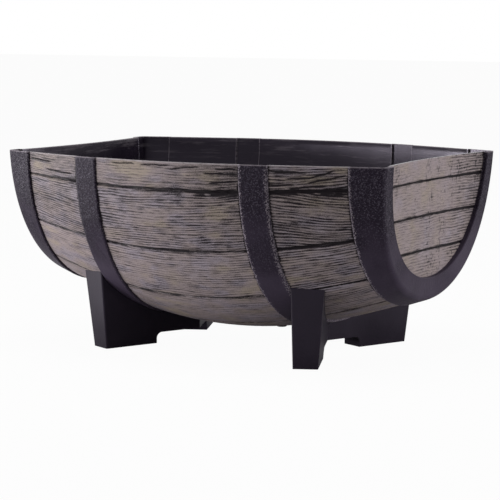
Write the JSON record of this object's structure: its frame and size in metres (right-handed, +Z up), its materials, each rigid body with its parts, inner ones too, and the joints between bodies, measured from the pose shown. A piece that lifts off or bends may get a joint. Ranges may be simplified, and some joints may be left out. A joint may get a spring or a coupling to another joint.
{
  "type": "barrel planter",
  "caption": "Half-barrel trough planter with moulded staves and hoops in relief, on two chevron feet, with removable drain bungs.",
  "frame": {"origin": "on the ground, below the middle of the trough", "axes": "+X along the barrel, +Y across it to the back, +Z up; the plane of the foot soles is z = 0"},
  "size_m": [0.7, 0.539, 0.323],
  "materials": {
    "trough": "black moulded polypropylene; the staves and heads are dry-brushed in weathered grey-brown",
    "feet": "satin charcoal moulded plastic",
    "screws": "zinc-plated",
    "washers": "matte black",
    "bungs": "matte black"
  },
  "bodies": {
    "planter": {"trough_shell": "trough", "left_foot": "feet", "right_foot": "feet", "left_foot_screws": "screws", "right_foot_screws": "screws", "left_foot_washers": "washers", "right_foot_washers": "washers"},
    "left_bung": {"drain_bung_left": "bungs"},
    "middle_bung": {"drain_bung_middle": "bungs"},
    "right_bung": {"drain_bung_right": "bungs"}
  },
  "joints": [
    {"name": "left_bung_lift", "type": "slide", "parent": "planter", "child": "left_bung", "axis": [0, 0, 1], "range_m": [0, 0.03]},
    {"name": "middle_bung_lift", "type": "slide", "parent": "planter", "child": "middle_bung", "axis": [0, 0, 1], "range_m": [0, 0.03]},
    {"name": "right_bung_lift", "type": "slide", "parent": "planter", "child": "right_bung", "axis": [0, 0, 1], "range_m": [0, 0.03]}
  ]
}
